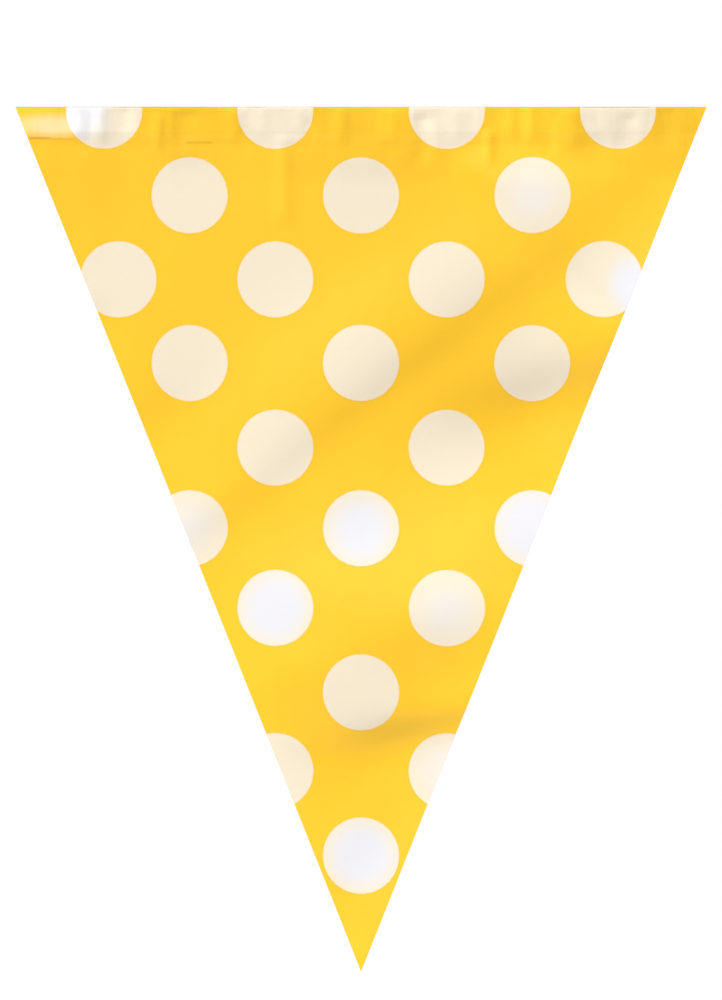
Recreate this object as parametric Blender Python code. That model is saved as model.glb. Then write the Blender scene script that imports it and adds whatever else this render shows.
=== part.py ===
"""Triangular film pennant for a bunting line, hanging tip down by a sealed cord sleeve.

The pennant is one sheet of printed plastic film. Its top is turned over to the back and
heat sealed along the hem line, which leaves a sleeve for the bunting cord. Each flat run of
film in the sleeve is a solid of its own: the front wall, the fold over the cord, the flap
behind and the seal, so the sleeve stays open from end to end. Below the seal the film hangs
free and bends wherever the wind takes it, so it is three bands that swing on flex lines
across the sheet.

The frame's origin is the middle of the cord's axis. +Z is up, the printed front faces -Y.
"""

import math

import bmesh
import bpy
from mathutils import Vector

# The cut sheet, as it hangs (metres)
TOP_WIDTH = 0.2032  # across the fold, corner to corner
FULL_HEIGHT = 0.2540  # fold to tip
FILM_THICKNESS = 0.0002

# The turned-over header
HEM_HEIGHT = 0.0091  # top of the fold to the lower edge of the seal
SEAL_HEIGHT = 0.0014  # band where both layers are fused
CORD_DIAMETER = 0.0020  # the bunting cord that the sleeve is threaded on
CORD_CLEARANCE = 0.0002  # all round the cord

# The free film below the seal
UPPER_BAND_HEIGHT = 0.0800
MIDDLE_BAND_HEIGHT = 0.0800

# Open line between one run of film and the next, at a bend or a flex line
FLEX_GAP = 0.0003

# Finish
FILM_COLOUR = (0.965, 0.600, 0.045, 1.0)
FILM_ROUGHNESS = 0.32

CORD_ROOM = CORD_DIAMETER / 2 + CORD_CLEARANCE  # cord's axis to the film round it
FOLD_TOP = CORD_ROOM + FILM_THICKNESS
SEAL_BOTTOM = FOLD_TOP - HEM_HEIGHT
SEAL_TOP = SEAL_BOTTOM + SEAL_HEIGHT
TIP_HEIGHT = FOLD_TOP - FULL_HEIGHT


def half_width(height):
    """Half the pennant's width at a height: its sides run straight from fold to tip."""
    return TOP_WIDTH / 2 * (height - TIP_HEIGHT) / FULL_HEIGHT


def film_material(name):
    """Glossy plastic film in the sheet's ground colour."""
    material = bpy.data.materials.new(name)
    material.use_nodes = True
    shader = material.node_tree.nodes["Principled BSDF"]
    shader.inputs["Base Color"].default_value = FILM_COLOUR
    shader.inputs["Roughness"].default_value = FILM_ROUGHNESS
    shader.inputs["Metallic"].default_value = 0.0
    material.diffuse_color = FILM_COLOUR
    return material


def film_run(name, section, origin_height=0.0, parent=None):
    """One run of film: a section in (depth, height) carried from one cut side to the other.

    The section starts on the left side of the pennant and is extruded to the right, where
    every corner lands on the right side at its own height.
    """
    shape = bmesh.new()
    end = shape.faces.new(
        [
            shape.verts.new((-half_width(height), depth, height - origin_height))
            for depth, height in section
        ]
    )
    swept = bmesh.ops.extrude_face_region(shape, geom=[end], use_keep_orig=True)
    for corner in swept["geom"]:
        if isinstance(corner, bmesh.types.BMVert):
            corner.co.x = -corner.co.x
    bmesh.ops.remove_doubles(shape, verts=shape.verts, dist=1e-7)
    bmesh.ops.recalc_face_normals(shape, faces=shape.faces)
    mesh = bpy.data.meshes.new(name)
    shape.to_mesh(mesh)
    shape.free()
    mesh.materials.append(film_material(name + "_film"))
    piece = bpy.data.objects.new(name, mesh)
    bpy.context.scene.collection.objects.link(piece)
    piece.location = Vector((0.0, 0.0, origin_height))
    if parent is not None:
        piece.parent = parent
        piece.location -= parent.matrix_world.translation
    bpy.context.view_layer.update()
    return piece


def sleeve_wall():
    """Section of the sleeve's back wall: from just above the seal, touching the cord's room
    on the way, up to just under the fold."""
    foot = Vector((FLEX_GAP / 2, SEAL_TOP + FLEX_GAP))
    # The inner face is the tangent from the foot to the circle of the cord's room.
    lean = math.asin(CORD_ROOM / foot.length) - math.atan2(foot.x, -foot.y)
    along = Vector((math.sin(lean), math.cos(lean)))
    out = Vector((math.cos(lean), -math.sin(lean)))
    rise = (CORD_ROOM - FLEX_GAP - foot.y) / along.y
    top = foot + along * rise
    return [foot, top, top + out * FILM_THICKNESS, foot + out * FILM_THICKNESS]


def mirrored(section):
    """The same section on the other side of the hanging plane."""
    return [(-depth, height) for depth, height in section]


def block(half_depth, bottom, top):
    """An upright section, centred on the hanging plane."""
    return [(-half_depth, bottom), (half_depth, bottom), (half_depth, top), (-half_depth, top)]


def header():
    """The turned-over top of the film, fixed to the cord. Returns the piece it hangs from."""
    wall = sleeve_wall()
    fold = film_run("header_fold", block(wall[2].x, CORD_ROOM, FOLD_TOP))
    film_run("header_flap", wall, parent=fold)
    film_run("header_front", mirrored(wall), parent=fold)
    film_run("hem_seal", block(FILM_THICKNESS, SEAL_BOTTOM, SEAL_TOP), parent=fold)
    return fold


def free_film(parent):
    """The three bands below the seal, each with its origin on the flex line above it."""
    tops = [SEAL_BOTTOM - FLEX_GAP]
    for height in (UPPER_BAND_HEIGHT, MIDDLE_BAND_HEIGHT):
        tops.append(tops[-1] - height - FLEX_GAP)
    bottoms = [top + FLEX_GAP for top in tops[1:]] + [TIP_HEIGHT]
    for name, top, bottom in zip(("film_upper", "film_middle", "film_tip"), tops, bottoms):
        section = block(FILM_THICKNESS / 2, bottom, top)
        parent = film_run(name, section, top + FLEX_GAP / 2, parent)


def main():
    """Clear the scene and build the pennant in it."""
    for item in list(bpy.data.objects):
        bpy.data.objects.remove(item, do_unlink=True)
    free_film(header())


main()
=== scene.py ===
"""Film bunting pennant.

One triangular sheet of dotted yellow plastic film, with a turned-over, heat-sealed header.
"""

import math
from bisect import bisect_right

import bpy
from bpy.props import FloatProperty, FloatVectorProperty, IntProperty, PointerProperty
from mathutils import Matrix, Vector, noise


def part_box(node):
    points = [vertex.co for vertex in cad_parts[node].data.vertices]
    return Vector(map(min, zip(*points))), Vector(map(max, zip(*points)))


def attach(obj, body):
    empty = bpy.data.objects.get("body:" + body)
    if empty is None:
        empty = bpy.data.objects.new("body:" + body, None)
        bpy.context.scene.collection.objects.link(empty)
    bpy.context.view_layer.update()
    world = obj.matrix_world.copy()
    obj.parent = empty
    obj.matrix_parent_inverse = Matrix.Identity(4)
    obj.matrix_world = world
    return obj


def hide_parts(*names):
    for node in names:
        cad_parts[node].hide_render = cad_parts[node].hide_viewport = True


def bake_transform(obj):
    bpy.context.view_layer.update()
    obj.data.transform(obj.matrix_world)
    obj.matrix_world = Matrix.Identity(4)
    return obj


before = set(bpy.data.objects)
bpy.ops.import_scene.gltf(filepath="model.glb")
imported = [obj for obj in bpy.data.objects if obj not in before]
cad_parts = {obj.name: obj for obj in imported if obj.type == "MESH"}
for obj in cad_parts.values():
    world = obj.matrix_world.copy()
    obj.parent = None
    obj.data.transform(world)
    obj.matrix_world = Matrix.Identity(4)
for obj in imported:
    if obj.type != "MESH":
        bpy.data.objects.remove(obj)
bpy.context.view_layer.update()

bl_info = {
    "name": "Film Bunting Pennant",
    "version": (1, 0, 0),
    "blender": (4, 5, 0),
    "location": "View3D > Sidebar > Pennant",
    "description": "Cuts, prints, folds and hangs one plastic film bunting pennant",
    "category": "Object",
}

MM = 0.001

# Places taken from the frame.
FOLD_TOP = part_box("header_fold")[1].z
HALF_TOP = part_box("header_fold")[1].x
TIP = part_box("film_tip")[0].z
SEAL_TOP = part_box("hem_seal")[1].z
SEAL_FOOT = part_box("hem_seal")[0].z
SEAM_AXIS = (SEAL_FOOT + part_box("film_upper")[1].z) / 2
UPPER_FLEX = (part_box("film_upper")[0].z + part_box("film_middle")[1].z) / 2
LOWER_FLEX = (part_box("film_middle")[0].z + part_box("film_tip")[1].z) / 2
UPPER_CUT = (SEAM_AXIS + UPPER_FLEX) / 2
LOWER_CUT = (UPPER_FLEX + LOWER_FLEX) / 2
SHEET_MAP = "cut_sheet"
SHEET_NAME = "pennant_sheet"
FILM_NAMES = ("pennant_header_film", "pennant_middle_film", "pennant_tip_film")

# Distance either side of a flex line, and above and below the seam's axis.
FLEX_REACH = 12 * MM
# Two rows of edges beside each cut keep the film's curve across it.
CUT_MARGIN = 0.06 * MM
# The soft bends fade in over this distance below the seal.
BEND_FADE = 14 * MM
# Edges sharper than this stay sharp.
SMOOTH_ANGLE = math.radians(35)
# The flat grid is cut this much wider than the sheet, then trimmed.
TRIM_SPARE = 2 * MM
OVAL_STEPS = 48
BEAD_ROWS = 4

# Dot rows of the print, in mm: distance below the fold line on the flat sheet, and the
# columns' distances from the middle.
DOT_ROWS = (
    (2.0, (25.2, 75.5)),
    (26.8, (0.0, 50.4)),
    (51.5, (25.2, 71.35)),
    (76.1, (0.0, 50.4)),
    (101.0, (25.2, 75.5)),
    (124.7, (0.0, 50.4)),
    (148.1, (25.2, 75.5)),
    (172.9, (0.0, 50.4)),
    (196.1, (25.2, 75.5)),
    (220.9, (0.0, 50.4)),
)

# Soft bends of the hanging film, in mm: across, below, heading in degrees, half length,
# half width, step forward. A negative step falls back.
BENDS = (
    (74, 24, -52, 86, 10.1, -1.6),
    (-92, 108, -27, 69, 10.0, -4.2),
    (-5, 92, -38, 86, 6.1, -2.0),
    (61, 80, -15, 31, 8.8, -5.9),
    (22, 182, -10, 28, 5.3, -4.4),
    (-45, 117, -28, 74, 8.8, 1.5),
    (28, 122, -84, 17, 25.5, 3.3),
    (-44, 173, -23, 57, 7.8, 2.1),
    (-13, 267, -64, 80, 9.3, 3.6),
    (67, 51, 45, 67, 3.5, -2.3),
    (86, 26, 9, 29, 13.5, 3.5),
    (-36, 82, -34, 86, 11.4, 3.4),
    (24, 179, -47, 83, 8.0, 1.4),
    (-86, 64, -20, 10, 4.2, -1.6),
    (-26, 149, -91, 20, 26.4, 3.9),
    (30, 15, -40, 8, 4.3, 1.3),
    (-38, 158, -65, 12, 7.9, 1.0),
    (102, 26, -54, 78, 7.9, 2.6),
)

# Gathers that the seal leaves, in mm: across, from and to below the fold, half width,
# height forward.
GATHERS = (
    (-83.0, 0, 10, 2.2, 0.30),
    (-76.5, 0, 11, 2.0, 0.35),
    (-70.0, 1, 9, 2.6, -0.25),
    (-59.6, 3, 13, 1.4, 0.26),
    (-52.0, 2, 12, 4.0, -0.30),
    (-37.0, 1, 10, 2.6, 0.28),
    (-29.0, 1, 9, 1.8, 0.16),
    (-22.6, 9, 34, 2.6, 0.30),
    (-15.0, 4, 12, 1.6, -0.16),
    (-5.8, 1, 11, 2.2, 0.26),
    (8.5, 1, 11, 3.2, 0.34),
    (18.0, 3, 17, 2.8, -0.36),
    (28.0, 1, 10, 2.0, 0.20),
    (37.6, 8, 17, 1.7, 0.36),
    (44.0, 0, 9, 1.7, 0.26),
    (50.0, 0, 11, 1.8, 0.32),
    (55.5, 3, 15, 1.6, -0.16),
    (62.0, 1, 13, 3.2, 0.40),
    (78.0, 3, 12, 2.6, -0.30),
    (90.0, 1, 12, 3.0, -0.26),
)

# Stretches of the header that kick forward, in mm: across, half width, step at the seal.
KICKS = (
    (-98.0, 26.0, 1.7),
    (50.0, 20.0, 0.7),
)
KICK_FADE = 26 * MM

# Painted highlights: soft ovals on the flat sheet where the dots are whitened as if catching the
# light, in mm: across, below, half width, half height, and a strength.
PAINTED_SHEEN_DOTS = (
    (-25.2, 148.0, 16, 16, 1.0),
    (50.4, 124.3, 17, 17, 1.0),
    (0.0, 124.9, 15, 15, 1.0),
    (80.0, 53.0, 12, 14, 1.0),
    (-83.0, 2.0, 13, 14, 1.0),
    (0.0, 220.9, 15, 15, 1.0),
    (-50.8, 124.7, 15, 15, 0.45),
    (25.2, 148.1, 15, 15, 0.45),
    (50.4, 26.8, 15, 15, 0.45),
    (25.2, 196.1, 15, 15, 0.45),
)
# Ovals that make the film lighter or darker, in mm: across, below, half width, half height, and a
# change of brightness.
TONE_PATCHES = (
    (51, 9, 16, 20, 0.08),
    (-51, 13.5, 16, 8, -0.08),
    (11, 4, 13, 12, 0.08),
)

# Painted shadow: dashes below the seal where its lower lip casts shade, in mm: across from, to,
# soft; below from, to, soft; strength.
SHADOW_DASHES = (
    ((-96.5, -92, 2), (10.0, 10.25, 0.45), 1.0),
    ((-90, -86, 3), (10.3, 10.5, 0.4), 0.45),
    ((-50.5, -44.5, 1.5), (11.2, 11.45, 0.4), 0.6),
)
# Painted shade: stretches of the fold line darkened olive, in mm: across from, to, soft; strength.
SHADED_FOLD_STRETCHES = (
    ((-70, -48, 5), 1.0),
    ((67, 82, 6), 1.0),
    ((-33, -30, 1.5), 0.7),
)
CRIMP_PITCH = 1.1

GLINT_WHITE = (0.96, 0.92, 0.84, 1.0)
REVERSE_HAZE = (0.93, 0.80, 0.50, 1.0)
FLOOR_DARK = (0.50, 0.50, 0.495, 1.0)
FLOOR_LIGHT = (0.53, 0.53, 0.525, 1.0)

# Lights: name, place, size, and the stage setting that holds its power.
LIGHTS = (
    ("key_light", (-2.5, -2.75, 3.25), 2.1, "key_power"),
    ("glow_light", (-0.6, -2.8, 0.7), 1.3, "glow_power"),
    ("rear_light", (2.6, 3.2, 1.8), 2.1, "rear_power"),
)
SENSOR_WIDTH = 36.0


class PennantFilm(bpy.types.PropertyGroup):
    """Sizes of the film sheet and of how it is folded and hung."""

    thickness: FloatProperty(
        name="Film thickness",
        description="Thickness of the plastic film",
        default=0.1 * MM,
        min=0.02 * MM,
        max=0.5 * MM,
        subtype="DISTANCE",
        unit="LENGTH",
    )
    sleeve_depth: FloatProperty(
        name="Sleeve half depth",
        description="Half of the sleeve's depth where it is deepest",
        default=1.12 * MM,
        min=0.3 * MM,
        max=1.4 * MM,
        subtype="DISTANCE",
        unit="LENGTH",
    )
    fold_height: FloatProperty(
        name="Fold height",
        description="Height of the rounding over the fold",
        default=0.6 * MM,
        min=0.2 * MM,
        max=1.4 * MM,
        subtype="DISTANCE",
        unit="LENGTH",
    )
    seal_gap: FloatProperty(
        name="Seal gap",
        description="Distance between the middles of the two films in the seal",
        default=0.2 * MM,
        subtype="DISTANCE",
        unit="LENGTH",
    )
    lip: FloatProperty(
        name="Flap lip",
        description="Width of the loose edge of the flap below the seal",
        default=0.6 * MM,
        subtype="DISTANCE",
        unit="LENGTH",
    )
    pucker: FloatProperty(
        name="Pucker height",
        description="Height of the gathers that the seal leaves in the film",
        default=0.2 * MM,
        subtype="DISTANCE",
        unit="LENGTH",
    )
    bend_share: FloatProperty(
        name="Bend share",
        description="How much of its soft bends the hanging film shows",
        default=1.0,
        min=0.0,
        max=2.0,
        subtype="FACTOR",
    )
    columns: IntProperty(
        name="Columns",
        description="Cells across the sheet",
        default=236,
        min=40,
        max=400,
    )


class PennantPrint(bpy.types.PropertyGroup):
    """Colours and sizes of the dotted print."""

    ground: FloatVectorProperty(
        name="Ground",
        description="Yellow of the printed film",
        default=(0.95, 0.552, 0.023),
        size=3,
        min=0.0,
        max=1.0,
        subtype="COLOR",
    )
    dot_cream: FloatVectorProperty(
        name="Dot cream",
        description="Colour of most of the dots",
        default=(0.84, 0.735, 0.56),
        size=3,
        min=0.0,
        max=1.0,
        subtype="COLOR",
    )
    # Painted highlight: the cool white the dots take where they catch the light.
    dot_sheen_white: FloatVectorProperty(
        name="Dot white",
        description="Colour of the dots where the ink is densest",
        default=(0.755, 0.745, 0.775),
        size=3,
        min=0.0,
        max=1.0,
        subtype="COLOR",
    )
    # Painted shade: the olive of the shaded stretches of the fold.
    painted_shade_lines: FloatVectorProperty(
        name="Crease",
        description="Olive tint of the sharp creases",
        default=(0.36, 0.29, 0.10),
        size=3,
        min=0.0,
        max=1.0,
        subtype="COLOR",
    )
    # Painted shadow: the darker yellow of the dashes under the seal's lip.
    lip_shadow_tint: FloatVectorProperty(
        name="Burnt",
        description="Brown tint of the film that the seal has scorched",
        default=(0.60, 0.30, 0.008),
        size=3,
        min=0.0,
        max=1.0,
        subtype="COLOR",
    )
    dot_radius: FloatProperty(
        name="Dot radius",
        description="Radius of one printed dot",
        default=11.15 * MM,
        subtype="DISTANCE",
        unit="LENGTH",
    )


class PennantStage(bpy.types.PropertyGroup):
    """Floor, studio light and camera."""

    floor_drop: FloatProperty(
        name="Floor drop",
        description="Height of the tip above the floor",
        default=0.25,
        subtype="DISTANCE",
        unit="LENGTH",
    )
    floor_radius: FloatProperty(
        name="Floor radius",
        description="Radius of the round floor",
        default=1.5,
        subtype="DISTANCE",
        unit="LENGTH",
    )
    camera_distance: FloatProperty(
        name="Camera distance",
        description="Distance from the camera to the film",
        default=1.5,
        subtype="DISTANCE",
        unit="LENGTH",
    )
    view_height: FloatProperty(
        name="View height",
        description="Height of the camera's picture at the film",
        default=0.294,
        subtype="DISTANCE",
        unit="LENGTH",
    )
    view_centre: FloatProperty(
        name="View centre",
        description="Distance of the camera's line of sight below the fold",
        default=115.6 * MM,
        subtype="DISTANCE",
        unit="LENGTH",
    )
    room_light: FloatProperty(
        name="Room light",
        description="Strength of the even light from all round",
        default=0.22,
        min=0.0,
    )
    key_power: FloatProperty(
        name="Key power",
        description="Power of the main soft light, above and to the left",
        default=360.0,
        min=0.0,
        subtype="POWER",
        unit="POWER",
    )
    glow_power: FloatProperty(
        name="Glow power",
        description="Power of the small light beside the camera that gives the film its sheen",
        default=3.0,
        min=0.0,
        subtype="POWER",
        unit="POWER",
    )
    rear_power: FloatProperty(
        name="Rear power",
        description="Power of the soft light behind the pennant",
        default=150.0,
        min=0.0,
        subtype="POWER",
        unit="POWER",
    )


def ease(value, low, high):
    """0 below low, 1 above high, smooth between."""
    t = min(max((value - low) / (high - low), 0.0), 1.0)
    return t * t * (3 - 2 * t)


class Section:
    """Side view of the folded sheet: where a distance along the sheet lies."""

    def __init__(self, film):
        wide, high = film.sleeve_depth, film.fold_height
        self.half_gap = film.seal_gap / 2
        middle = FOLD_TOP - film.thickness / 2 - high
        # The wall runs from the seal and just touches the oval of the fold. Its lean is found
        # with the oval stretched to a circle.
        drop = (middle - SEAL_TOP) * wide / high
        reach = math.hypot(self.half_gap, drop)
        lean = math.asin(wide / reach) - math.atan2(self.half_gap, drop)
        turn = math.pi / 2 + lean
        angles = [turn * i / OVAL_STEPS for i in range(OVAL_STEPS + 1)]
        self.outline = [(wide * math.sin(a), middle + high * math.cos(a)) for a in angles]
        self.outline += [(self.half_gap, SEAL_TOP), (self.half_gap, SEAL_FOOT)]
        self.marks = [0.0]
        for before, after in zip(self.outline, self.outline[1:]):
            self.marks.append(self.marks[-1] + math.dist(before, after))
        self.seal_start, self.seal_end = self.marks[-2:]
        self.lip = film.lip
        self.flap = self.seal_end + film.lip
        self.length = self.seal_end + SEAL_FOOT - TIP

    def at(self, along):
        """Depth from the middle plane, and height, at a distance along the sheet."""
        s = abs(along)
        if s >= self.seal_end:
            past = s - self.seal_end
            if along < 0:
                curl = 0.25 * self.lip * (past / self.lip) ** 2
                return self.half_gap + curl, SEAL_FOOT - past
            return self.half_gap * (1 - ease(past, 0.0, 3 * MM)), SEAL_FOOT - past
        k = bisect_right(self.marks, s) - 1
        share = (s - self.marks[k]) / (self.marks[k + 1] - self.marks[k])
        (y0, z0), (y1, z1) = self.outline[k], self.outline[k + 1]
        return y0 + (y1 - y0) * share, z0 + (z1 - z0) * share


def bump(distance, half):
    """1 at no distance, falling to nothing well past half."""
    return math.exp(-((distance / half) ** 2))


def wander(x, y, z):
    return noise.noise(Vector((x, y, z)))


def gathers(across, along, section, film):
    """Forward step of the gathers and kicks that the seal leaves.

    Both films move as one in the seal.
    """
    s = abs(along)
    x, down = across / MM, s / MM
    front = along >= 0
    up = min(s / section.seal_start, 1.0)
    past = max(s - section.seal_end, 0.0)
    seal = wander(x / 4.6, 3.1, 0.0) + 0.5 * wander(x / 2.1, 9.4, 0.0)
    step = 0.35 * seal * up**2 * math.exp(-past / (5 * MM))
    loose = ease(s, 0.3 * MM, 3 * MM) * (1 - ease(up, 0.6, 1.0))
    if front:
        loose += ease(past, 0.0, 5 * MM)
    if loose > 0:
        side = 0.0 if front else 37.0
        fine = math.exp(-past / (3 * MM)) * wander(x / 2.4, down / 12, 21.0 + side)
        broad = math.exp(-past / (12 * MM)) * wander(x / 7.5, down / 30, 5.0 + side)
        step += loose * (0.45 * fine + 0.7 * broad)
    step *= film.pucker
    share = 1.0 if front else ease(up, 0.6, 1.0)
    for place, top, foot, half, height in GATHERS:
        if abs(x - place) < 3 * half:
            window = ease(down, top - 1, top + 2) * (1 - ease(down, foot - 3, foot + 3))
            step += share * height * MM * window * bump(x - place, half)
    kick = sum(rise * bump(x - place, half) for place, half, rise in KICKS)
    return step + kick * MM * up * bump(past, KICK_FADE)


def bends(across, along, section, film):
    """Forward step of the soft bends of the hanging film."""
    step = 0.0
    for x, below, heading, long, wide, rise in BENDS:
        dx, dz = across / MM - x, along / MM - below
        turn = math.radians(heading)
        lengthwise = dx * math.cos(turn) + dz * math.sin(turn)
        crosswise = -dx * math.sin(turn) + dz * math.cos(turn)
        step += rise * bump(lengthwise, long) * 0.5 * (1 + math.tanh(crosswise / wide))
    fade = ease(along, section.seal_end, section.seal_end + BEND_FADE)
    return film.bend_share * step * MM * fade


def deselect_all():
    if bpy.context.mode != "OBJECT":
        bpy.ops.object.mode_set(mode="OBJECT")
    bpy.ops.object.select_all(action="DESELECT")


def make_active(piece):
    deselect_all()
    piece.select_set(True)
    bpy.context.view_layer.objects.active = piece


def bisect(piece, place, facing, clear):
    """Cuts a piece along a plane; clear says whether what lies on the side it faces goes."""
    make_active(piece)
    bpy.ops.object.mode_set(mode="EDIT")
    bpy.ops.mesh.select_all(action="SELECT")
    bpy.ops.mesh.bisect(
        plane_co=place,
        plane_no=facing,
        use_fill=False,
        clear_inner=False,
        clear_outer=clear,
        threshold=1e-7,
    )
    bpy.ops.mesh.select_all(action="DESELECT")
    bpy.ops.object.mode_set(mode="OBJECT")


def copy_piece(source, name):
    make_active(source)
    bpy.ops.object.duplicate(linked=False)
    piece = bpy.context.view_layer.objects.active
    piece.name = piece.data.name = name
    return piece


def apply_modifier(piece, kind, name, **settings):
    make_active(piece)
    modifier = piece.modifiers.new(name, kind)
    for key, value in settings.items():
        setattr(modifier, key, value)
    bpy.ops.object.modifier_apply(modifier=modifier.name)


def lay_grid(name, rows, columns):
    """A flat strip as wide as the sheet, with a row at each of rows.

    Its x is across, and its y the distance along the sheet.
    """
    deselect_all()
    count = len(rows) - 1
    bpy.ops.mesh.primitive_grid_add(
        x_subdivisions=columns,
        y_subdivisions=count,
        size=1.0,
        calc_uvs=True,
        location=(0, 0, 0),
    )
    strip = bpy.context.active_object
    strip.name = strip.data.name = name
    strip.scale = (2 * HALF_TOP + TRIM_SPARE, count, 1.0)
    bpy.ops.object.transform_apply(location=True, rotation=True, scale=True)
    strip.data.uv_layers[0].name = SHEET_MAP
    for vertex in strip.data.vertices:
        vertex.co.y = rows[count - round(vertex.co.y + count / 2)]
    return strip


def trim_sides(piece):
    """Cuts a piece along the pennant's two slanted sides."""
    drop = FOLD_TOP - TIP
    for side in (-1, 1):
        facing = Vector((side * drop, 0, -HALF_TOP)).normalized()
        bisect(piece, (0, 0, TIP), facing, True)


class PENNANT_OT_sheet(bpy.types.Operator):
    """Lays the film sheet flat, marks its cut map, turns its header over and hangs it"""

    bl_idname = "pennant.sheet"
    bl_label = "Hang film sheet"

    def execute(self, context):
        film = context.scene.pennant_film
        section = Section(film)
        sheet = lay_grid(SHEET_NAME, self.row_places(section), film.columns)
        self.mark_map(sheet, section)
        self.hang(sheet, section, film)
        return {"FINISHED"}

    @staticmethod
    def row_places(section):
        """Distances along the sheet of its rows, close together at the header and wider below."""
        places, s = [], -section.flap
        while s < section.length + 0.5 * MM:
            places.append(s)
            fine = ease(abs(s), 0.8 * MM, 2.4 * MM)
            s += 0.14 * MM + 0.20 * MM * fine + 0.72 * MM * ease(abs(s), 12 * MM, 26 * MM)
        places.append(s)
        return places

    @staticmethod
    def mark_map(sheet, section):
        """Gives the sheet its map: place on the flat sheet as shares of its cut size."""
        width, length = 2 * HALF_TOP, section.flap + section.length
        layer = sheet.data.uv_layers[SHEET_MAP]
        for loop in sheet.data.loops:
            co = sheet.data.vertices[loop.vertex_index].co
            layer.data[loop.index].uv = (
                co.x / width + 0.5,
                1 - (co.y + section.flap) / length,
            )

    @staticmethod
    def hang(sheet, section, film):
        for vertex in sheet.data.vertices:
            across, along = vertex.co.x, vertex.co.y
            depth, height = section.at(along)
            forward = gathers(across, along, section, film)
            if along >= 0:
                forward += bends(across, along, section, film)
                depth = -depth
            vertex.co = (across, depth - forward, height)
        sheet.data.update()


class PENNANT_OT_bands(bpy.types.Operator):
    """Trims the hung sheet, parts it into its three bands and gives them their thickness"""

    bl_idname = "pennant.bands"
    bl_label = "Cut film bands"

    def execute(self, context):
        film = context.scene.pennant_film
        section = Section(film)
        sheet = bpy.data.objects[SHEET_NAME]
        trim_sides(sheet)
        for cut in (UPPER_CUT, LOWER_CUT):
            for off in (-CUT_MARGIN, CUT_MARGIN):
                bisect(sheet, (0, 0, cut + off), (0, 0, 1), False)
        limits = ((None, UPPER_CUT), (UPPER_CUT, LOWER_CUT), (LOWER_CUT, None))
        header, middle, tip = [
            self.band(sheet, name, top, foot) for name, (top, foot) in zip(FILM_NAMES, limits)
        ]
        make_active(sheet)
        bpy.ops.object.delete()
        for piece in (header, middle, tip):
            self.thicken(piece, film)
        self.attach(header, middle, tip, section)
        return {"FINISHED"}

    @staticmethod
    def band(sheet, name, top, foot):
        piece = copy_piece(sheet, name)
        if top is not None:
            bisect(piece, (0, 0, top), (0, 0, 1), True)
        if foot is not None:
            bisect(piece, (0, 0, foot), (0, 0, -1), True)
        return piece

    @staticmethod
    def thicken(piece, film):
        make_active(piece)
        bpy.ops.object.mode_set(mode="EDIT")
        bpy.ops.mesh.select_all(action="SELECT")
        bpy.ops.mesh.remove_doubles(threshold=1e-6)
        bpy.ops.mesh.select_all(action="DESELECT")
        bpy.ops.object.mode_set(mode="OBJECT")
        # Empty slots for the two finishes, so that the modifier can give the reverse its own.
        for _ in range(2):
            piece.data.materials.append(None)
        apply_modifier(
            piece,
            "SOLIDIFY",
            "film_thickness",
            thickness=film.thickness,
            offset=0.0,
            use_rim=True,
            use_even_offset=True,
            material_offset=1,
            material_offset_rim=1,
        )
        bpy.ops.object.shade_smooth_by_angle(angle=SMOOTH_ANGLE)

    @staticmethod
    def attach(header, middle, tip, section):
        def width_at(height):
            return 2 * HALF_TOP * (height - TIP) / (FOLD_TOP - TIP)

        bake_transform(header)
        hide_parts("header_front", "header_fold", "header_flap", "hem_seal", "film_upper")
        front, flap = FOLD_TOP - UPPER_CUT, section.flap
        extra = section.seal_end - (FOLD_TOP - SEAL_FOOT)
        area = (width_at(FOLD_TOP) + width_at(UPPER_CUT)) / 2 * front
        area += width_at(FOLD_TOP) * extra
        area += (width_at(FOLD_TOP) + width_at(SEAL_FOOT)) / 2 * flap
        front + extra + flap

        UPPER_FLEX + FLEX_REACH
        UPPER_FLEX - FLEX_REACH
        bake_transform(middle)
        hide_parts("film_upper", "film_middle")
        wide, tall = width_at(UPPER_CUT), UPPER_CUT - LOWER_CUT
        area = (wide + width_at(LOWER_CUT)) / 2 * tall

        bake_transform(tip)
        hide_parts("film_middle", "film_tip")
        wide, tall = width_at(LOWER_CUT), LOWER_CUT - TIP
        wide * tall / 2


class PENNANT_OT_seal(bpy.types.Operator):
    """Makes the fused bead that joins the flap to the back of the front film"""

    bl_idname = "pennant.seal"
    bl_label = "Seal bead"

    def execute(self, context):
        film = context.scene.pennant_film
        section = Section(film)
        step = (section.seal_end - section.seal_start) / BEAD_ROWS
        rows = [section.seal_start + step * i for i in range(BEAD_ROWS + 1)]
        bead = lay_grid("pennant_seal_bead", rows, film.columns)
        for vertex in bead.data.vertices:
            across, along = vertex.co.x, vertex.co.y
            forward = gathers(across, along, section, film)
            vertex.co = (across, -forward, section.at(along)[1])
        trim_sides(bead)
        apply_modifier(
            bead,
            "SOLIDIFY",
            "bead_thickness",
            thickness=0.8 * (film.seal_gap - film.thickness),
            offset=0.0,
            use_rim=True,
        )
        bpy.ops.object.shade_smooth_by_angle(angle=SMOOTH_ANGLE)
        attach(bead, "header")
        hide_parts("hem_seal")
        return {"FINISHED"}


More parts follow.
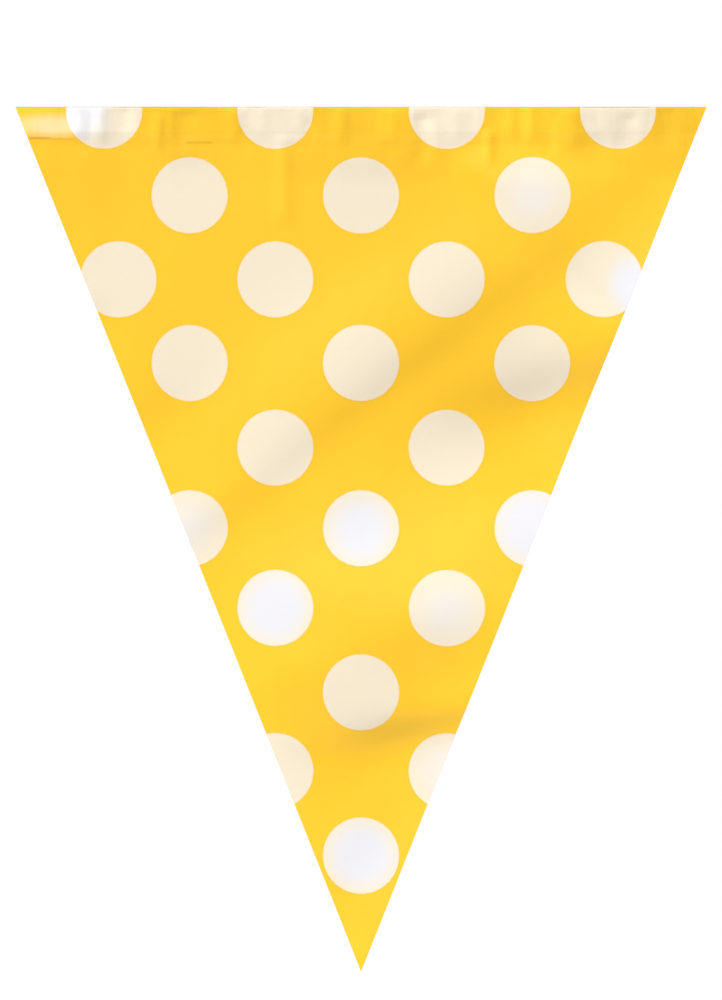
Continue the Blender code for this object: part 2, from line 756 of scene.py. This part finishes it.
class Value:
    """One output of a shader node, with plain arithmetic that adds Math nodes."""

    def __init__(self, finish, socket):
        self.finish = finish
        self.socket = socket

    def math(self, operation, *others, first=None):
        values = [self if first is None else first, *others]
        return self.finish.node(
            "ShaderNodeMath",
            {"operation": operation},
            dict(enumerate(values)),
        )

    def __add__(self, other):
        return self.math("ADD", other)

    __radd__ = __add__

    def __sub__(self, other):
        return self.math("SUBTRACT", other)

    def __rsub__(self, other):
        return self.math("SUBTRACT", self, first=other)

    def __mul__(self, other):
        return self.math("MULTIPLY", other)

    __rmul__ = __mul__

    def __truediv__(self, other):
        return self.math("DIVIDE", other)

    def __rtruediv__(self, other):
        return self.math("DIVIDE", self, first=other)

    def __abs__(self):
        return self.math("ABSOLUTE")

    def least(self, other):
        return self.math("MINIMUM", other)

    def most(self, other):
        return self.math("MAXIMUM", other)

    def root(self):
        return self.math("SQRT")

    def rise(self, low, high):
        """0 below low and 1 above high, smooth between."""
        return self.finish.node(
            "ShaderNodeMapRange",
            {"interpolation_type": "SMOOTHSTEP", "clamp": True},
            {0: self, 1: low, 2: high, 3: 0.0, 4: 1.0},
        )

    def between(self, low, high, soft):
        """1 from low to high, falling off over soft at both ends."""
        return self.rise(low - soft, low) * (1 - self.rise(high, high + soft))


class Finish:
    """A material that is built node by node."""

    def __init__(self, name):
        self.material = bpy.data.materials.new(name)
        self.material.use_nodes = True
        self.tree = self.material.node_tree
        self.tree.nodes.clear()

    def node(self, kind, settings=None, inputs=None, output=0):
        """Adds a node: its settings first, then the values or links of its sockets."""
        made = self.tree.nodes.new(kind)
        for key, value in (settings or {}).items():
            setattr(made, key, value)
        for key, value in (inputs or {}).items():
            socket = made.inputs[key]
            if isinstance(value, Value):
                self.tree.links.new(value.socket, socket)
            else:
                socket.default_value = value
        return Value(self, made.outputs[output]) if made.outputs else None

    def mix(self, factor, low, high):
        """Mixes two colours."""
        return self.node(
            "ShaderNodeMix",
            {"data_type": "RGBA", "clamp_factor": True},
            {0: factor, 6: low, 7: high},
            output=2,
        )

    def scale_colour(self, colour, value):
        """Makes a colour lighter or darker by a value."""
        if not isinstance(colour, Value):
            colour = tuple(colour)[:3]
        return self.node(
            "ShaderNodeVectorMath",
            {"operation": "SCALE"},
            {0: colour, "Scale": value},
        )

    def grain(self, place, scale, detail=2.0, roughness=0.5):
        """Soft noise from 0 to 1 at a place in mm."""
        return self.node(
            "ShaderNodeTexNoise",
            {"noise_dimensions": "3D"},
            {"Vector": place, "Scale": scale, "Detail": detail, "Roughness": roughness},
        )


def rgba(colour, share=1.0):
    return (colour[0] * share, colour[1] * share, colour[2] * share, 1.0)


class Print:
    """The dotted print's masks, worked out on the flat sheet in mm."""

    def __init__(self, finish, section, inks):
        self.finish = finish
        length = section.flap + section.length
        place = finish.node("ShaderNodeUVMap", {"uv_map": SHEET_MAP})
        across = finish.node("ShaderNodeSeparateXYZ", inputs={0: place}, output=0)
        along = Value(finish, across.socket.node.outputs[1])
        self.across = (across - 0.5) * (2 * HALF_TOP / MM)
        self.below = (1 - along) * (length / MM) - section.flap / MM
        self.place = self.point(self.below)
        self.stretched = self.point(self.below * 0.09)
        uneven = finish.grain(self.place, 0.9, 2.0) * 0.24 - 0.12
        self.edge = self.nearest_dot() + uneven - inks.dot_radius / MM
        self.dots = 1 - self.edge.rise(-0.25, 0.25)

    def point(self, below):
        return self.finish.node("ShaderNodeCombineXYZ", inputs={0: self.across, 1: below, 2: 0.0})

    def nearest_dot(self):
        """Distance to the middle of the nearest dot."""
        side = abs(self.across)
        columns = {}
        nearest = None
        for below, places in DOT_ROWS:
            if places not in columns:
                offs = [abs(side - x) if x else side for x in places]
                off = offs[0].least(offs[1])
                columns[places] = off * off
            drop = self.below - below
            far = columns[places] + drop * drop
            nearest = far if nearest is None else nearest.least(far)
        return nearest.root()

    def blob(self, across, below, wide, tall, soft=0.9):
        """1 in the middle of a soft oval, 0 outside."""
        dx, dz = (self.across - across) / wide, (self.below - below) / tall
        return 1 - (dx * dx + dz * dz).root().rise(1 - soft, 1.0)


def film_finish(name, section, inks, reverse):
    """The film's printed side, or its reverse where the print shows through."""
    finish = Finish(name)
    art = Print(finish, section, inks)
    spread = abs(art.below)
    seal_start, seal_end = section.seal_start / MM, section.seal_end / MM

    # Ink: an uneven ground, a heavier rim round each dot, and dots from cream to white. The white
    # is painted highlight on the dots that face the light, mixed with random ink density.
    density = finish.grain(art.place, 0.035, 3.0, 0.55)
    streak = finish.grain(art.stretched, 0.16, 3.0, 0.6)
    speck = finish.grain(art.place, 2.4, 2.0, 0.6)
    rim = art.edge.between(0.25, 0.35, 0.3)
    tone = 1.0 + (density - 0.5) * 0.06 + (streak - 0.5) * 0.05 + (speck - 0.5) * 0.03 - rim * 0.05
    ground = finish.scale_colour(rgba(inks.ground), tone)
    sheen_and_density = None
    for *oval, strength in PAINTED_SHEEN_DOTS:
        white = art.blob(*oval) * strength
        sheen_and_density = white if sheen_and_density is None else sheen_and_density.most(white)
    sheen_and_density = (sheen_and_density * 1.1 + (density - 0.5) * 0.5).rise(0.05, 0.95)
    dot = finish.mix(sheen_and_density, rgba(inks.dot_cream), rgba(inks.dot_sheen_white))
    dot = finish.scale_colour(dot, 1.0 + (speck - 0.5) * 0.02)

    # Brightness, from two plies of film and from painted light: higher on the sleeve, where
    # painted light also lifts its leaning wall, and lower along the seal. A painted shade darkens
    # the front of the fold against the highlight it catches, and a faint painted shade lies along
    # the foot of the seal.
    plies_and_painted_light = 1.05 - spread.rise(seal_start - 0.4, seal_start + 0.4) * 0.05
    plies_and_painted_light = plies_and_painted_light - (1 - spread.rise(11, 12.5)) * 0.02
    plies_and_painted_light = plies_and_painted_light - (1 - spread.rise(0.5, 1.8)) * 0.36 * art.below.rise(-0.8, 0.3)
    plies_and_painted_light = plies_and_painted_light + art.dots * (1 - spread.rise(7.4, 8.6)) * 0.06
    plies_and_painted_light = plies_and_painted_light - spread.between(8.5, 10.2, 0.5) * 0.03
    for *oval, strength in TONE_PATCHES:
        plies_and_painted_light = plies_and_painted_light + art.blob(*oval) * strength
    colour = finish.scale_colour(finish.mix(art.dots, ground, dot), plies_and_painted_light)

    # Painted shade: shadow dashes under the seal's lip, and olive shaded stretches of the fold
    # line.
    dash = None
    for across, below, strength in SHADOW_DASHES:
        mark = art.across.between(*across) * art.below.between(*below) * strength
        dash = mark if dash is None else dash.most(mark)
    colour = finish.mix(dash * 0.8, colour, rgba(inks.lip_shadow_tint))
    fold = None
    for across, strength in SHADED_FOLD_STRETCHES:
        mark = art.across.between(*across) * strength
        fold = mark if fold is None else fold.most(mark)
    fold = fold * art.below.between(-0.3, 0.9, 0.4)
    colour = finish.mix(fold * (0.4 + streak * 0.4), colour, rgba(inks.painted_shade_lines))
    painted_shade_lines = dash.most(fold)

    # Painted highlight: a pale glint at the header's left end, where the coat is also heavier.
    painted_glint = art.blob(-90, 6.4, 19, 4.6, 0.8) * (0.4 + streak * 0.6)
    colour = finish.mix(painted_glint * 0.5, colour, GLINT_WHITE)
    if reverse:
        colour = finish.mix(0.13, colour, REVERSE_HAZE)

    # Surface: fine crinkle, gathers below the seal and the crimp of the seal itself.
    crinkle = finish.grain(art.place, 0.55, 3.0, 0.55)
    gather = finish.grain(art.stretched, 0.55, 3.0, 0.55)
    peel = finish.grain(art.place, 3.5, 1.0, 0.5)
    header = 1 - spread.rise(9, 26)
    wave = (art.across * (2 * math.pi / CRIMP_PITCH)).math("SINE")
    crimp = wave * spread.between(seal_start, seal_end, 0.2)
    height = crinkle * 0.25 + gather * header * 0.35 + peel * 0.02 + crimp * 0.02
    normal = finish.node(
        "ShaderNodeBump",
        inputs={"Strength": 1.0, "Distance": 0.18 * MM, "Height": height},
    )
    gloss = finish.grain(art.place, 0.12, 3.0, 0.6)
    rough = 0.40 if reverse else 0.31
    rough = rough + (gloss - 0.5) * 0.16 + (speck - 0.5) * 0.08 + painted_shade_lines * 0.1
    inputs = {
        "Base Color": colour,
        "Roughness": rough,
        "Normal": normal,
        "Coat Weight": (0.05 if reverse else 0.12) + painted_glint * 0.35,
        "Coat Roughness": 0.22,
        "IOR": 1.45,
    }
    if reverse:
        # Painted light: the film's reverse along the sleeve glows faintly, in place of daylight
        # passing through the film.
        painted_sleeve_glow = 1 - spread.rise(seal_start - 1.5, seal_start)
        inputs["Emission Color"] = finish.scale_colour(colour, painted_sleeve_glow * 0.05)
        inputs["Emission Strength"] = 1.0
    shader = finish.node("ShaderNodeBsdfPrincipled", inputs=inputs)
    finish.node("ShaderNodeOutputMaterial", inputs={0: shader})
    return finish.material


def bead_finish(inks):
    """The fused film of the seal: clear yellow, a little cloudy."""
    finish = Finish("fused_film")
    place = finish.node("ShaderNodeTexCoord", output=3)
    cloud = finish.node(
        "ShaderNodeTexNoise",
        inputs={"Vector": place, "Scale": 900.0, "Detail": 3.0},
    )
    colour = finish.mix(cloud, rgba(inks.ground, 0.86), rgba(inks.ground))
    shader = finish.node(
        "ShaderNodeBsdfPrincipled",
        inputs={"Base Color": colour, "Roughness": 0.3 + cloud * 0.15},
    )
    finish.node("ShaderNodeOutputMaterial", inputs={0: shader})
    return finish.material


class PENNANT_OT_finishes(bpy.types.Operator):
    """Prints the film: the dotted side, its reverse and the fused bead"""

    bl_idname = "pennant.finishes"
    bl_label = "Print finishes"

    def execute(self, context):
        section = Section(context.scene.pennant_film)
        inks = context.scene.pennant_print
        front = film_finish("dotted_film", section, inks, False)
        back = film_finish("dotted_film_reverse", section, inks, True)
        for name in FILM_NAMES:
            slots = bpy.data.objects[name].data.materials
            slots[0], slots[1] = front, back
        bpy.data.objects["pennant_seal_bead"].data.materials.append(bead_finish(inks))
        return {"FINISHED"}


def floor_finish(stage):
    """Pale floor that thins out into the white of the room."""
    finish = Finish("pale_floor")
    place = finish.node("ShaderNodeTexCoord", output=3)
    far = finish.node("ShaderNodeVectorMath", {"operation": "LENGTH"}, {0: place}, output=1)
    fade = far.rise(0.45 * stage.floor_radius, 0.98 * stage.floor_radius)
    dust = finish.node(
        "ShaderNodeTexNoise",
        inputs={"Vector": place, "Scale": 30.0, "Detail": 4.0},
    )
    matte = finish.node(
        "ShaderNodeBsdfPrincipled",
        inputs={"Base Color": finish.mix(dust, FLOOR_DARK, FLOOR_LIGHT), "Roughness": 0.8},
    )
    clear = finish.node("ShaderNodeBsdfTransparent")
    mixed = finish.node("ShaderNodeMixShader", inputs={0: fade, 1: matte, 2: clear})
    finish.node("ShaderNodeOutputMaterial", inputs={0: mixed})
    return finish.material


def soft_light(name, place, aim, size, power):
    bpy.ops.object.light_add(type="AREA", location=place)
    lamp = bpy.context.active_object
    lamp.name = lamp.data.name = name
    lamp.data.shape = "DISK"
    lamp.data.size = size
    lamp.data.energy = power
    lamp.rotation_euler = (Vector(aim) - Vector(place)).to_track_quat("-Z", "Y").to_euler()
    lamp.visible_camera = False


class PENNANT_OT_stage(bpy.types.Operator):
    """Sets the plain pale floor, the soft studio light and the camera"""

    bl_idname = "pennant.stage"
    bl_label = "Floor, light and camera"

    def execute(self, context):
        stage = context.scene.pennant_stage
        scene = context.scene
        scene.view_settings.view_transform = "Standard"
        scene.view_settings.look = "None"
        deselect_all()
        bpy.ops.mesh.primitive_circle_add(
            vertices=96,
            radius=stage.floor_radius,
            fill_type="NGON",
            location=(0, 0, TIP - stage.floor_drop),
        )
        floor = context.active_object
        floor.name = floor.data.name = "pale_floor"
        bpy.ops.object.transform_apply(location=True, rotation=True, scale=True)
        floor.data.materials.append(floor_finish(stage))

        aim = (0, 0, FOLD_TOP - stage.view_centre)
        for name, place, size, power in LIGHTS:
            soft_light(name, place, aim, size, getattr(stage, power))

        deselect_all()
        bpy.ops.object.camera_add(
            location=(0, -stage.camera_distance, aim[2]),
            rotation=(math.pi / 2, 0, 0),
        )
        camera = context.active_object
        camera.name = camera.data.name = "front_camera"
        camera.data.sensor_width = SENSOR_WIDTH
        camera.data.lens = SENSOR_WIDTH * stage.camera_distance / stage.view_height
        scene.camera = camera
        self.room(scene, stage)
        return {"FINISHED"}

    @staticmethod
    def room(scene, stage):
        """An even white room, whose light is softer than it looks."""
        world = bpy.data.worlds.new("white_room")
        world.use_nodes = True
        scene.world = world
        tree = world.node_tree
        tree.nodes.clear()
        output = tree.nodes.new("ShaderNodeOutputWorld")
        seen = tree.nodes.new("ShaderNodeBackground")
        light = tree.nodes.new("ShaderNodeBackground")
        mixed = tree.nodes.new("ShaderNodeMixShader")
        path = tree.nodes.new("ShaderNodeLightPath")
        seen.inputs["Strength"].default_value = 1.0
        light.inputs["Strength"].default_value = stage.room_light
        for background in (seen, light):
            background.inputs["Color"].default_value = (1.0, 1.0, 1.0, 1.0)
        tree.links.new(path.outputs["Is Camera Ray"], mixed.inputs[0])
        tree.links.new(light.outputs[0], mixed.inputs[1])
        tree.links.new(seen.outputs[0], mixed.inputs[2])
        tree.links.new(mixed.outputs[0], output.inputs[0])


class PENNANT_PT_panel(bpy.types.Panel):
    """Lists the pennant's sizes, colours and steps"""

    bl_idname = "PENNANT_PT_panel"
    bl_label = "Bunting pennant"
    bl_space_type = "VIEW_3D"
    bl_region_type = "UI"
    bl_category = "Pennant"

    def draw(self, context):
        layout = self.layout
        for title, group in (
            ("Film", context.scene.pennant_film),
            ("Print", context.scene.pennant_print),
            ("Stage", context.scene.pennant_stage),
        ):
            box = layout.box()
            box.label(text=title)
            for name in group.__annotations__:
                box.prop(group, name)
        for step in OPERATORS:
            layout.operator(step.bl_idname)


GROUPS = (
    ("pennant_film", PennantFilm),
    ("pennant_print", PennantPrint),
    ("pennant_stage", PennantStage),
)
OPERATORS = (
    PENNANT_OT_stage,
    PENNANT_OT_sheet,
    PENNANT_OT_bands,
    PENNANT_OT_seal,
    PENNANT_OT_finishes,
)


def register():
    for name, group in GROUPS:
        bpy.utils.register_class(group)
        setattr(bpy.types.Scene, name, PointerProperty(type=group))
    for step in (*OPERATORS, PENNANT_PT_panel):
        bpy.utils.register_class(step)


def unregister():
    for step in reversed((*OPERATORS, PENNANT_PT_panel)):
        bpy.utils.unregister_class(step)
    for name, group in reversed(GROUPS):
        delattr(bpy.types.Scene, name)
        bpy.utils.unregister_class(group)


def main():
    register()
    bpy.ops.pennant.stage()
    bpy.ops.pennant.sheet()
    bpy.ops.pennant.bands()
    bpy.ops.pennant.seal()
    bpy.ops.pennant.finishes()
    bpy.context.view_layer.update()


if __name__ == "__main__":
    main()
